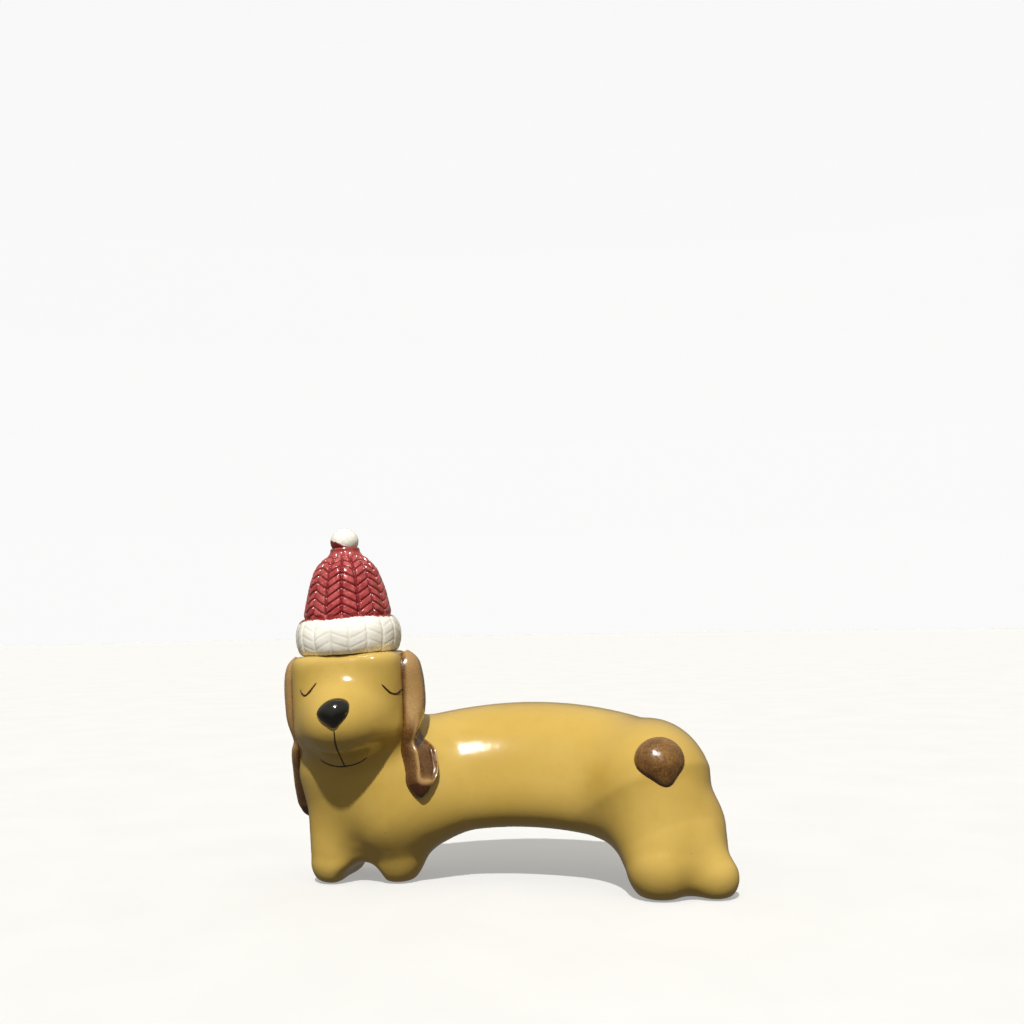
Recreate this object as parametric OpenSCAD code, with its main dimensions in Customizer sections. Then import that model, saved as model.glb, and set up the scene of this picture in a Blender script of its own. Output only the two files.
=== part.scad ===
// Slip-cast earthenware dog ornament: a long-bodied hound in a knitted hat.
// The dog stands on four paws with its body bowed round, so that its face and
// its rump both look towards -Y. Z = 0 is the surface it stands on. Millimetres.

/* [Castings] */
// Wall thickness of the hollow castings
wall = 4.5; // [3.5:0.5:5.5]
// Diameter of the firing vent under the belly
belly_vent_d = 7; // [4:0.5:9]
// Diameter of the vent from the head's hollow into the hat
hat_vent_d = 6; // [4:0.5:9]
// Coarseness of the modelled surfaces, as a step between sections in degrees
section_step = 3; // [3:1:6]

/* [Body] */
// Half depth of the torso, front to back
torso_ry = 26.5; // [25:0.5:29]
// Half height of the torso
torso_rz = 27; // [26:0.5:30]
// Height of the torso's middle line where it is highest
torso_z = 49; // [48:0.5:52]
// How far the torso's middle line stands back from the line of the paws
torso_y = 19; // [15:0.5:23]
// Radius of the chest below the neck
chest_r = 27.5; // [26:0.5:29]
// Radius of the rump
rump_r = 25; // [23:0.5:29]
// Radius of the front paws
front_paw_r = 11; // [10:0.5:12]
// Radius of the rear left paw, under the tail
rear_paw_r = 14; // [13:0.5:15]

/* [Head] */
// Half width of the head
head_rx = 24.5; // [22:0.5:26]
// Half depth of the head
head_ry = 22; // [20:0.5:23]
// Height of the flat crown of the head, where the hat sits
head_top = 101.5; // [98:0.5:103]
// Turn of the head about its upright axis, towards the rump
head_turn = 8; // [0:1:12]
// Lean of the head and hat, away from the rump
head_lean = 2.6; // [0:0.2:4]
// Angle of the neck joint between head and body castings
neck_angle = 35; // [30:1:38]
// Half width of the muzzle
muzzle_rx = 17; // [15:0.5:18]

/* [Ears, nose and tail] */
// Thickness of the ears at their thickest
ear_t = 7.5; // [5:0.5:8]
// Length of the ears
ear_len = 68; // [62:1:70]
// How far the nose stands proud of the muzzle
nose_t = 3.6; // [3:0.2:4.6]
// How far the tail stands proud of the rump
tail_t = 6; // [4:0.5:8]
// Width of the brush-drawn face lines
line_w = 0.9; // [0.7:0.1:1.4]
// Height of the brush-drawn face lines
line_t = 0.4; // [0.3:0.1:0.6]

/* [Hat] */
// Radius of the knitted crown
hat_r = 19.4; // [18.6:0.2:21]
// Height of the dome above the cuff
hat_h = 31.5; // [29:0.5:36]
// Outer radius of the rolled cuff
cuff_r = 23.8; // [23:0.2:25]
// Height of the rolled cuff
cuff_h = 17; // [14:0.5:18]
// Radius of the pompom
pompom_r = 6.5; // [5:0.5:8]

/* [Hidden] */

// The model is drawn about the paws and moved so that the middle of its
// bounding box stands over the origin
shift = [2, 3.5, 0];

head_x = -70;
head_y = -14;
head_pivot = [head_x, head_y, 60];
neck_mid = [head_x, head_y, 68];
ochre = [0.84, 0.67, 0.33];
brown = [0.42, 0.24, 0.10];

// ---------- shape functions: negative inside, positive outside ----------

function clamp(x, a, b) = max(a, min(b, x));
function smin(a, b, k) = let(h = clamp(0.5 + 0.5 * (b - a) / k, 0, 1))
    b * (1 - h) + a * h - k * h * (1 - h);
function smax(a, b, k) = -smin(-a, -b, k);
// Round-ended cone from a (radius ra) to b (radius rb)
function limb(p, a, b, ra, rb) =
    let(ab = b - a, t = clamp(((p - a) * ab) / (ab * ab), 0, 1))
    norm(p - a - t * ab) - (ra + (rb - ra) * t);
function egg(p, c, r) =
    let(q = p - c,
        k0 = norm([q[0] / r[0], q[1] / r[1], q[2] / r[2]]),
        k1 = norm([q[0] / r[0] / r[0], q[1] / r[1] / r[1], q[2] / r[2] / r[2]]) + 1e-9)
    k0 * (k0 - 1) / k1;
function soft_box(p, c, h, r) =
    let(q = [abs(p[0] - c[0]) - h[0] + r, abs(p[1] - c[1]) - h[1] + r, abs(p[2] - c[2]) - h[2] + r])
    norm([max(q[0], 0), max(q[1], 0), max(q[2], 0)]) + min(max(q[0], q[1], q[2]), 0) - r;

// Head frame: turned about the upright axis, then leaned, about head_pivot
function rot_y(v, a) = [v[0] * cos(a) + v[2] * sin(a), v[1], -v[0] * sin(a) + v[2] * cos(a)];
function rot_z(v, a) = [v[0] * cos(a) - v[1] * sin(a), v[0] * sin(a) + v[1] * cos(a), v[2]];
function to_head(p) = rot_z(rot_y(p - head_pivot, head_lean), -head_turn) + head_pivot;
function from_head(p) = rot_y(rot_z(p - head_pivot, head_turn), -head_lean) + head_pivot;
function dir_from_head(v) = rot_y(rot_z(v, head_turn), -head_lean);

// The torso is an arched tube, bowed back in plan; its front leans back
// towards the top, and its section is a little squarer than an ellipse
squareness = 2.3;
function torso(p) =
    let(x = clamp(p[0], -50, 56), u = x - 4,
        bow = u < 0 ? 0.0055 : 0.0036, arch = u < 0 ? 0.0022 : 0.00235,
        dz = p[2] - torso_z + arch * u * u,
        dy = p[1] - torso_y + bow * u * u - 0.3 * dz)
    26.5 * (pow(pow(abs(p[0] - x) / 26, squareness) + pow(abs(dy) / torso_ry, squareness)
                + pow(abs(dz) / torso_rz, squareness), 1 / squareness) - 1);

function legs(p, d) =
    let(d1 = smin(d, limb(p, [-78.5, -10, 24], [-79.5, -13.5, front_paw_r - 2.2], 16, front_paw_r), 9),
        d2 = smin(d1, limb(p, [-56.5, -10, 24], [-51.5, -7, front_paw_r - 1.8], 16, front_paw_r), 9),
        d3 = smin(d2, limb(p, [65, -8, 26], [67, -22, rear_paw_r - 2.5], 18, rear_paw_r), 9),
        d4 = smin(d3, limb(p, [69, -8, 26], [89, -19, rear_paw_r - 5.8], 18, rear_paw_r - 4), 9),
        // heels and the web between them carry each pair of legs to the ground
        d5 = smin(d4, limb(p, [-76, 4, 26], [-77, 6, 8], 13, 10), 9),
        d6 = smin(d5, limb(p, [-60, 5, 26], [-56, 8, 8], 13, 10), 9),
        d7 = smin(d6, limb(p, [-67, -3, 18], [-67, -2, 5], 12, 10), 9),
        d8 = smin(d7, limb(p, [70, 0, 28], [70, 1, 8], 15, 11), 9),
        d9 = smin(d8, limb(p, [80, -3, 26], [82, -1, 8], 12, 9.5), 9))
    smin(d9, limb(p, [77, -9, 18], [77, -9, 6], 11, 9), 9);

function body(p) =
    let(d1 = smin(torso(p), limb(p, [-53.5, -1, 35], [-71.2, -4, 55], 24.5, chest_r), 15),
        d2 = smin(d1, limb(p, [62, -3.5, 41.5], [70.5, -9.5, 22], rump_r, 19.5), 12))
    legs(p, d2);

function head(p) =
    let(q = to_head(p), c = [head_x, head_y, 74],
        d1 = soft_box(q, c + [0, 0, 8.5], [head_rx, head_ry, 25], 13),
        d2 = smin(d1, limb(q, c + [0, -8, 10], c + [0, -20, 1], 13, 14), 10),
        d3 = smin(d2, egg(q, c + [0, -17, -2.5], [muzzle_rx, 20, 13.5]), 8))
    smax(d3, q[2] - head_top - 0.1, 3);

function dog(p) = smin(body(p), head(p), 9);

// What the ears are modelled on: above the shoulder they follow the head alone
function ear_bed(p) =
    let(t = clamp((p[2] - 58) / 12, 0, 1))
    smin(head(p), body(p) + 12 * t * t * (3 - 2 * t), 6);

// The neck joint's plane, positive above it
function neck(p) = (p - neck_mid) * [0, -sin(neck_angle), cos(neck_angle)];
// The body casting, drawn a little past the neck joint before it is trimmed
function body_side(p) = smax(dog(p), neck(p) - 6, 4);

// ---------- finding surfaces along straight lines ----------

// Where field number w crosses level v on the line from c along d, by halving
function field(w, p) = w == 0 ? body_side(p) : w == 1 ? dog(p) : w == 2 ? ear_bed(p) : body(p);
function find(w, v, c, d, lo, hi, n = 13) =
    n == 0 ? (lo + hi) / 2
    : let(m = (lo + hi) / 2)
      field(w, c + m * d) < v ? find(w, v, c, d, m, hi, n - 1) : find(w, v, c, d, lo, m, n - 1);
function on(w, v, c, d, hi) = c + find(w, v, c, d, 0, hi) * d;

// A ring of n points round c in the plane of e1 and e2
function ring(w, v, c, e1, e2, n, hi) =
    [for (i = [0 : n - 1]) let(a = 360 * i / n) on(w, v, c, cos(a) * e1 + sin(a) * e2, hi)];

function mean(l) = [for (k = [0 : 2]) let(s = [for (q = l) q[k]]) (s * [for (q = l) 1]) / len(l)];

// A closed skin over a stack of rings, each end closed with a flat fan
module skin(rings) {
    m = len(rings);
    n = len(rings[0]);
    pts = concat([for (r = rings) each r], [mean(rings[0])], [mean(rings[m - 1])]);
    sides = [for (j = [0 : m - 2]) for (i = [0 : n - 1])
        let(a = j * n + i, b = j * n + (i + 1) % n, c = a + n, d = b + n)
        each [[a, b, d], [a, d, c]]];
    first = [for (i = [0 : n - 1]) [m * n, (i + 1) % n, i]];
    last = [for (i = [0 : n - 1]) [m * n + 1, (m - 1) * n + i, (m - 1) * n + (i + 1) % n]];
    polyhedron(points = pts, faces = concat(sides, first, last), convexity = 8);
}

// ---------- castings ----------

// Sections of the body fan out from a line under the belly, from the front
// paws' soles (180 degrees) over the back to the rear paws' soles (0)
fan_x = 5;
function fan_r(a) = lookup(a, [[0, 72], [15, 70], [30, 68], [45, 64], [60, 58], [75, 52], [90, 49.5],
    [105, 55], [120, 66], [135, 76], [150, 76], [165, 71], [180, 71]]);
function fan_y(a) = lookup(a, [[0, -11], [15, -9], [30, -6], [45, 2], [60, 10], [75, 15], [90, 19],
    [105, 14], [120, 5], [135, -4], [150, -6], [165, -5], [180, -5]]);
function section(v, a, n) =
    ring(0, v, [fan_x + fan_r(a) * cos(a), fan_y(a), fan_r(a) * sin(a)],
         [cos(a), 0, sin(a)], [0, 1, 0], n, 46);

fan_angles = concat([180, 179.2, 178.3, 177.3, 176, 174.5, 172.8, 171],
    [for (a = [168.5 : -section_step : 11.5]) a], [9, 7.2, 5.5, 4, 2.7, 1.7, 0.8, 0]);

module belly_vent() {
    translate([4, torso_y, 0]) cylinder(h = torso_z, d = belly_vent_d, $fn = 48);
}

module above_neck() {
    translate(neck_mid) rotate([neck_angle, 0, 0]) translate([-60, -80, 0]) cube([120, 160, 60]);
}

module body_shell() {
    color(ochre) translate(shift) difference() {
        skin([for (a = fan_angles) section(0, a, 48)]);
        skin([for (a = [175 : -5 : 5]) section(-wall, a, 24)]);
        above_neck();
        belly_vent();
    }
}

// Sections of the head rise from the neck joint's slope to the level crown
function head_section(v, s, z, n) =
    let(a = neck_angle * (1 - s) * (1 - s),
        c = [neck_mid[0], neck_mid[1], z] + [0, 0, 0],
        k = 1 - pow(1 - s, 2),
        e1 = (1 - k) * [1, 0, 0] + k * dir_from_head([1, 0, 0]),
        e2 = (1 - k) * [0, cos(a), sin(a)] + k * dir_from_head([0, cos(a), sin(a)]),
        u1 = e1 / norm(e1), w2 = e2 - (e2 * u1) * u1, u2 = w2 / norm(w2),
        cc = (1 - k) * c + k * from_head([head_x, head_y, z]))
    ring(1, v, cc, u1, -u2, n, 48);

module head_shell() {
    color(ochre) translate(shift) difference() {
        skin([for (t = [[0, 68], [0.07, 70], [0.14, 72.2], [0.21, 74.4], [0.29, 76.6], [0.37, 78.8],
                        [0.45, 81], [0.53, 83.2], [0.61, 85.4], [0.69, 87.6], [0.77, 89.8], [0.85, 92],
                        [0.92, 94.2], [0.97, 96], [1, 97.5], [1, 99], [1, 99.7], [1, 100]])
              head_section(0, t[0], t[1] * (t[1] > 97 ? head_top / 100 : 1), 44)]);
        skin([for (t = [[0, 67.5], [0.07, 69.5], [0.22, 74], [0.38, 78.4], [0.54, 82.8], [0.7, 87.2],
                        [0.86, 91.6], [1, 95]])
              head_section(-wall, t[0], t[1], 24)]);
        translate(head_pivot) rotate([0, -head_lean, 0]) translate([0, 0, 20])
            cylinder(h = 40, d = hat_vent_d, $fn = 48);
    }
}

// ---------- applied pieces ----------

// A pad that lies on the casting: its rim is a closed outline in the plane of
// e1 and e2 about c, found along -e3, and its face is domed to thickness t
function pad_point(w, v, c, e1, e2, e3, q) =
    let(o = c + q[0] * e1 + q[1] * e2 + 30 * e3)
    o - find_in(w, v, o, -e3, 0, 60) * e3;
// As find, but from outside inwards
function find_in(w, v, c, d, lo, hi, n = 13) =
    n == 0 ? (lo + hi) / 2
    : let(m = (lo + hi) / 2)
      field(w, c + m * d) > v ? find_in(w, v, c, d, m, hi, n - 1) : find_in(w, v, c, d, lo, m, n - 1);

module pad(w, c, e1, e2, e3, outline, t, edge, gap = 0.05, levels = [0.25, 0.5, 0.72, 0.88, 0.97, 1]) {
    n = len(outline);
    m = len(levels);
    back = [for (s = levels) [for (q = outline) pad_point(w, gap, c, e1, e2, e3, s * q)]];
    front = [for (s = levels) [for (q = outline)
        pad_point(w, gap + edge + (t - edge) * sqrt(max(0, 1 - pow(s, 2.6))), c, e1, e2, e3, s * q)]];
    pts = concat([for (r = back) each r], [for (r = front) each r],
                 [pad_point(w, gap, c, e1, e2, e3, [0, 0])],
                 [pad_point(w, gap + t, c, e1, e2, e3, [0, 0])]);
    f = m * n;
    faces = concat(
        [for (j = [0 : m - 2]) for (i = [0 : n - 1])
            let(a = j * n + i, b = j * n + (i + 1) % n) each [[a, a + n, b + n], [a, b + n, b]]],
        [for (j = [0 : m - 2]) for (i = [0 : n - 1])
            let(a = f + j * n + i, b = f + j * n + (i + 1) % n) each [[a, b + n, a + n], [a, b, b + n]]],
        [for (i = [0 : n - 1]) let(a = (m - 1) * n + i, b = (m - 1) * n + (i + 1) % n)
            each [[a, f + a, f + b], [a, f + b, b]]],
        [for (i = [0 : n - 1]) [2 * f, i, (i + 1) % n]],
        [for (i = [0 : n - 1]) [2 * f + 1, f + (i + 1) % n, f + i]]);
    polyhedron(points = pts, faces = faces, convexity = 6);
}

// A hanging ear, as stations down its length in the head's own frame:
// [out from the head's axis, forward or back of it, height, the way its
// outside faces, half width in front, half width behind, thickness]
ear_top = [
    [21, 0, 99, [1, 0, 0.5], 3, 3.5, 3],
    [23, 0, 96.5, [1, 0, 0.3], 6, 6.5, 5.5],
    [24, 0, 92.5, [1, 0, 0.1], 7.8, 8.5, 7],
    [24, 0, 87, [1, 0, 0], 8.3, 9, 7.5]];
// The left ear swings forward over the shoulder at its lower end
ear_left_drop = [
    [24, -0.5, 80, [1, -0.08, 0], 8.5, 9, 7.5],
    [24.5, -2, 74, [0.97, -0.22, 0.05], 8.5, 8.5, 7.5],
    [26.5, -4.5, 68, [0.9, -0.42, 0.15], 8, 7.5, 7.2],
    [29, -8, 62, [0.78, -0.58, 0.25], 8, 7.5, 7],
    [31.2, -11, 56, [0.68, -0.66, 0.32], 9, 8.2, 6.6],
    [32.6, -12.8, 50, [0.64, -0.7, 0.33], 9.4, 8.2, 6],
    [32.6, -14.4, 45, [0.63, -0.72, 0.3], 8.4, 6.8, 5.6],
    [33, -15.5, 41, [0.63, -0.74, 0.25], 6.4, 4.9, 5],
    [33.2, -16.3, 38, [0.63, -0.74, 0.25], 3.8, 2.8, 4],
    [33.3, -16.6, 36.6, [0.63, -0.74, 0.25], 1.6, 1.2, 3]];
// The right ear hangs straighter and lower, along the side of the neck
ear_right_drop = [
    [24, 0, 80, [1, -0.02, 0], 8.6, 9.3, 7.2],
    [24, 0.5, 74, [1, -0.03, 0], 9, 9.5, 6.5],
    [24.5, 2, 68, [1, -0.04, 0], 9.5, 10, 5.5],
    [25.5, 4, 62, [1, -0.05, 0], 10, 10.5, 4.8],
    [27, 6, 56, [1, -0.06, 0], 10, 11, 4.4],
    [27.5, 7.5, 50, [1, -0.08, 0], 9.5, 10.5, 4.4],
    [27, 8.5, 44, [1, -0.1, 0], 8.5, 9, 5],
    [26, 9, 38.5, [1, -0.12, 0], 7, 7, 6],
    [25, 9, 34, [1, -0.12, 0], 5, 5, 6.5],
    [24, 9, 30.5, [1, -0.12, 0], 3, 3, 6],
    [23, 9, 28.5, [1, -0.12, 0], 1, 1, 5]];

module ear(side, stations) {
    m = len(stations);
    k = ear_len / 68;
    at = [for (e = stations) from_head([head_x + side * e[0], head_y + e[1], head_top - (100 - e[2]) * k])];
    rings = [for (j = [0 : m - 1])
        let(e = stations[j], t = at[max(j - 1, 0)] - at[min(j + 1, m - 1)],
            n0 = dir_from_head([side * e[3][0], e[3][1], e[3][2]]), n1 = n0 / norm(n0),
            w0 = cross(t, n1) * side, w1 = w0 / norm(w0),
            th = e[6] * ear_t / 7.5)
        concat(
            [for (u = [-1, -0.8, -0.5, -0.17, 0.17, 0.5, 0.8, 1])
                let(o = at[j] + u * (u < 0 ? e[4] : e[5]) * w1 + 30 * n1)
                o - find_in(1, 0.15, o, -n1, 0, 60) * n1],
            [for (u = [1, 0.85, 0.5, 0.17, -0.17, -0.5, -0.85, -1])
                let(o = at[j] + u * (u < 0 ? e[4] : e[5]) * w1 + 30 * n1,
                    v = 0.15 + th * (0.35 + 0.65 * sqrt(1 - 0.98 * u * u)))
                o - min(find_in(2, v, o, -n1, 0, 60), find_in(1, 1.2, o, -n1, 0, 60)) * n1])];
    color(brown) translate(shift)
        skin(side < 0 ? rings : [for (r = rings) [for (i = [len(r) - 1 : -1 : 0]) r[i]]]);
}
module ear_left() { ear(1, concat(ear_top, ear_left_drop)); }
module ear_right() { ear(-1, concat(ear_top, ear_right_drop)); }

// The rounded three-cornered nose
nose_shape = [for (a = [0 : 15 : 345]) let(r = 7.1 + 0.8 * sin(3 * a) + 0.4 * cos(2 * a)) [r * cos(a) * 1.02, r * sin(a) * 1.02]];
module nose() {
    e3 = dir_from_head([0, -cos(20), sin(20)]);
    e2 = dir_from_head([0, sin(20), cos(20)]);
    color([0.03, 0.03, 0.03]) translate(shift)
        pad(1, from_head([head_x - 2, head_y - 35, 78.5]), dir_from_head([1, 0, 0]), e2, e3,
            nose_shape, nose_t, 0.5, 0.05);
}

// The tail is a short leaf folded flat on the rump, pointed at its lower end
tail_shape = [for (a = [0 : 15 : 345]) let(r = 10.4 + 1.2 * pow(max(0, cos(a + 75)), 8) * 2 + 0.8 * cos(2 * (a - 20))) [r * cos(a), r * sin(a)]];
module tail() {
    e3 = [0.12, -cos(48), sin(48)] / norm([0.12, -cos(48), sin(48)]);
    e1 = [cos(6), 0.12, 0] / norm([cos(6), 0.12, 0]);
    e2 = cross(e3, e1);
    color(brown) translate(shift)
        pad(3, [67.5, -18, 56], e1, e2, e3, tail_shape, tail_t, 1, 0.1);
}

// A brush line on the face through points given as [turn, height]: turn is
// the angle about the head's axis from straight ahead, towards the left ear
function face_point(v, a, z) =
    let(c = from_head([head_x, head_y - 4, z]), d = dir_from_head([sin(a), -cos(a), 0]))
    c + find(1, v, c, d, 5, 50) * d;
module brush(path) {
    n = len(path);
    // each station: the two edges on the glaze and a raised middle
    st = [for (i = [0 : n - 1])
        let(p = path[i], q = path[min(i + 1, n - 1)], r = path[max(i - 1, 0)],
            k = 0.42, tx = (q[0] - r[0]) * k, tz = q[1] - r[1], l = norm([tx, tz]),
            w = line_w / 2 * (i == 0 || i == n - 1 ? 0.45 : 1),
            ox = -tz / l * w / k, oz = tx / l * w)
        [face_point(0.06, p[0] + ox, p[1] + oz), face_point(0.06, p[0], p[1]),
         face_point(0.06, p[0] - ox, p[1] - oz), face_point(line_t + 0.06, p[0], p[1])]];
    skin(st);
}
module eyelid_left() {
    color([0.16, 0.08, 0.04]) translate(shift)
        brush([[40, 88.2], [43, 86.6], [46.5, 85.2], [50, 84.2], [54, 83.6], [58, 83.2],
               [62, 83.4], [66, 84], [70, 84.8], [74, 85], [77, 84.4]]);
}
module eyelid_right() {
    color([0.16, 0.08, 0.04]) translate(shift)
        brush([[-28, 90], [-31, 88], [-34, 86.6], [-38, 85.4], [-43, 84.8], [-47, 85.2],
               [-50, 86.2], [-52, 87.6]]);
}
module mouth_line() {
    color([0.18, 0.12, 0.04]) translate(shift) {
        brush([[-1, 70], [-0.8, 67.5], [-0.4, 65], [0.2, 62.5], [1, 60], [2, 57.5], [3, 55.2]]);
        brush([[-17, 58.4], [-14, 56.6], [-10, 55.2], [-6, 54.4], [-2, 54], [2, 53.9], [6, 54],
               [10, 54.4], [14, 55], [18, 56], [22, 57.6]]);
    }
}

// ---------- hat ----------

module on_hat() {
    translate(shift) translate(head_pivot) rotate([0, -head_lean, 0]) translate([-0.5, 0, head_top - 60])
        children();
}
// Hollow knitted crown: straight inside the cuff, domed above it, with a
// small flat on top that carries the pompom
seat_a = 70;
seat_z = cuff_h + hat_h * sin(seat_a);
module hat_crown() {
    ri = hat_r - 4;
    color([0.55, 0.10, 0.12]) on_hat() rotate_extrude($fn = 96)
        polygon(concat([[ri, 0], [hat_r, 0]],
            [for (a = [0 : 5 : seat_a]) [hat_r * sqrt(1 - pow(sin(a), 1.5)), cuff_h + hat_h * sin(a)]],
            [[0, seat_z], [0, cuff_h + hat_h - 6]],
            [for (a = [80 : -10 : 0]) [ri * cos(a), cuff_h + (hat_h - 6) * sin(a)]]));
}
// Rolled cuff round the crown's foot
module hat_cuff() {
    w = cuff_r - hat_r;
    color([0.93, 0.92, 0.89]) on_hat() rotate_extrude($fn = 96)
        polygon(concat([[hat_r, 0]],
            [for (a = [-90 : 10 : 90]) [cuff_r - w * 0.95 + w * 0.95 * cos(a), cuff_h / 2 + cuff_h / 2 * sin(a)]],
            [[hat_r, cuff_h]]));
}
// Pompom, seated on the flat on top of the crown
module hat_pompom() {
    color([0.95, 0.94, 0.92]) on_hat() intersection() {
        translate([0, 0, seat_z + pompom_r - 2]) sphere(r = pompom_r, $fn = 64);
        translate([0, 0, seat_z]) cylinder(h = 3 * pompom_r, r = 2 * pompom_r, $fn = 64);
    }
}

body_shell();
head_shell();
ear_left();
ear_right();
nose();
tail();
eyelid_left();
eyelid_right();
mouth_line();
hat_crown();
hat_cuff();
hat_pompom();
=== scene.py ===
import bpy, math
import numpy as np
from mathutils import Vector, Matrix


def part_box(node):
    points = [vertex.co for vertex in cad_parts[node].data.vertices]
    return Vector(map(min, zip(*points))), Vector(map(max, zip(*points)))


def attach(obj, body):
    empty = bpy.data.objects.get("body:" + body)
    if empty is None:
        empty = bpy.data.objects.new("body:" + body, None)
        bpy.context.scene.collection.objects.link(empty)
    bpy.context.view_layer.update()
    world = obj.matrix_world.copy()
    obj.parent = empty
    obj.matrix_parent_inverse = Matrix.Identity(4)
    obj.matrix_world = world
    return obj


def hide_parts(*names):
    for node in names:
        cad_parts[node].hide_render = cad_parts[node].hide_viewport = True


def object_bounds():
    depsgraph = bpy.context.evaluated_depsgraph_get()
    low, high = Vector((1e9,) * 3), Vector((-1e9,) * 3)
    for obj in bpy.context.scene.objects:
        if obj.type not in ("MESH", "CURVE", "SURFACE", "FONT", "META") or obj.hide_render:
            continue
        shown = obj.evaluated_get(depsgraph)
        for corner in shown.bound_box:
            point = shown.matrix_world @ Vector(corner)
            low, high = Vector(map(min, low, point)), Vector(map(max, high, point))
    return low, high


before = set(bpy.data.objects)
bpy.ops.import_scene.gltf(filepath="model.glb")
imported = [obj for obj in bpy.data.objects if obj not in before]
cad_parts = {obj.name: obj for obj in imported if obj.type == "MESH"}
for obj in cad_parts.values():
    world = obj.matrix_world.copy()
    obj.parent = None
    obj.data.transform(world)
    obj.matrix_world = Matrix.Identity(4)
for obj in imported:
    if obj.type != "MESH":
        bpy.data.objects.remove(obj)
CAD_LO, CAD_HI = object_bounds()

rng = np.random.default_rng(7)

# ---------------------------------------------------------------- frame
# The castings are drawn in millimetres about the paws, as the design is, and
# moved to the row frame by OFF, which comes from where the cuff stands.
PIVOT = np.array([-70.0, -14.0, 60.0])
LEAN, TURN = math.radians(2.6), math.radians(8.0)
CUFF_H = 17.0


def rot_y(v, a):
    c, s = math.cos(a), math.sin(a)
    return np.stack([v[..., 0] * c + v[..., 2] * s, v[..., 1], -v[..., 0] * s + v[..., 2] * c], -1)


def rot_z(v, a):
    c, s = math.cos(a), math.sin(a)
    return np.stack([v[..., 0] * c - v[..., 1] * s, v[..., 0] * s + v[..., 1] * c, v[..., 2]], -1)


def to_head(p):
    return rot_z(rot_y(p - PIVOT, LEAN), -TURN) + PIVOT


def from_head(p):
    return rot_y(rot_z(np.asarray(p, float) - PIVOT, TURN), -LEAN) + PIVOT


def dir_from_head(v):
    return rot_y(rot_z(np.asarray(v, float), TURN), -LEAN)


def hat_point(p):
    """Hat frame (foot of the hat at 0) to design millimetres."""
    return rot_y(np.asarray(p, float) + np.array([-0.5, 0, 41.5]), -LEAN) + PIVOT


cuff_lo, cuff_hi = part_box("hat_cuff")
OFF = np.array((cuff_lo + cuff_hi) / 2) * 1000 - hat_point(np.array([0, 0, CUFF_H / 2]))


def metres(p):
    return (np.asarray(p, float) + OFF) / 1000


# ---------------------------------------------------------------- the casting's form
def smin(a, b, k):
    h = np.clip(0.5 + 0.5 * (b - a) / k, 0, 1)
    return b * (1 - h) + a * h - k * h * (1 - h)


def smax(a, b, k):
    return -smin(-a, -b, k)


def limb(p, a, b, ra, rb):
    a, b = np.array(a, float), np.array(b, float)
    ab = b - a
    t = np.clip(((p - a) @ ab) / (ab @ ab), 0, 1)
    d = p - (a + t[..., None] * ab)
    return np.sqrt((d * d).sum(-1)) - (ra + (rb - ra) * t)


def egg(p, c, r):
    q = p - np.array(c, float)
    r = np.array(r, float)
    k0 = np.sqrt(((q / r) ** 2).sum(-1))
    k1 = np.sqrt(((q / (r * r)) ** 2).sum(-1)) + 1e-9
    return k0 * (k0 - 1) / k1


def soft_box(p, c, h, r):
    q = np.abs(p - np.array(c, float)) - (np.array(h, float) - r)
    return np.sqrt((np.maximum(q, 0) ** 2).sum(-1)) + np.minimum(q.max(-1), 0) - r


def torso(p):
    x = np.clip(p[..., 0], -50, 56)
    u = x - 4
    back = np.where(u < 0, 0.0055 * u * u, 0.0036 * u * u)
    dz = p[..., 2] - 49.1 + np.where(u < 0, 0.0022, 0.00235) * u * u
    # the front of the torso leans back towards its top
    yc = 19 - back + 0.34 * dz
    k = 2.4
    return 26.5 * ((np.abs((p[..., 0] - x) / 26) ** k + np.abs((p[..., 1] - yc) / 26.5) ** k
                    + np.abs(dz / 27.0) ** k) ** (1 / k) - 1)


LIMBS = [
    ([-77, -7, 44], [-79.5, -13.5, 8.8], 18, 11),
    ([-57, -4, 42], [-51.5, -8.5, 9.2], 18, 11),
    ([65, -8, 30], [67, -22, 11.5], 18, 14),
    ([72, -6, 30], [89, -19, 8.2], 12.5, 10),
    ([-76, 4, 26], [-77, 6, 8], 13, 10),
    ([-60, 5, 26], [-56, 8, 8], 13, 10),
    ([-67, -3, 18], [-67, -2, 5], 12, 10),
    ([70, 0, 28], [70, 1, 8], 15, 11),
    ([80, -3, 26], [82, -1, 8], 12, 9.5),
    ([77, -9, 18], [77, -9, 6], 11, 9),
]


def body(p):
    d = smin(torso(p), limb(p, [-53.5, -1, 35], [-71.2, -4.5, 55], 24.5, 27.5), 15)
    d = smin(d, limb(p, [62.3, -1.5, 41], [70.5, -8.5, 22], 26, 19), 12)
    for a, b, ra, rb in LIMBS:
        d = smin(d, limb(p, a, b, ra, rb), 9)
    return d


def head(p):
    q = to_head(p)
    c = np.array([-70, -14, 74.0])
    d = soft_box(q, c + [0, 0, 9], [24.5, 22, 24.5], 12)
    d = smin(d, limb(q, c + [0, -8, 10], c + [0, -20, 1], 13, 14), 10)
    d = smin(d, egg(q, c + [0, -17, -2.5], [17, 20, 13.5]), 7)
    return smax(d, q[..., 2] - 101.6, 3)


def dog(p):
    return smin(body(p), head(p), 9)


def ear_bed(p):
    """What the ears are laid on: above the shoulder they follow the head alone."""
    t = np.clip((p[..., 2] - 58) / 12, 0, 1)
    hang = soft_box(to_head(p), np.array([-70, -10, 75.0]), [24.2, 15, 27], 10)
    return smin(smin(head(p), hang, 3), body(p) + 12 * t * t * (3 - 2 * t), 6)


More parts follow.
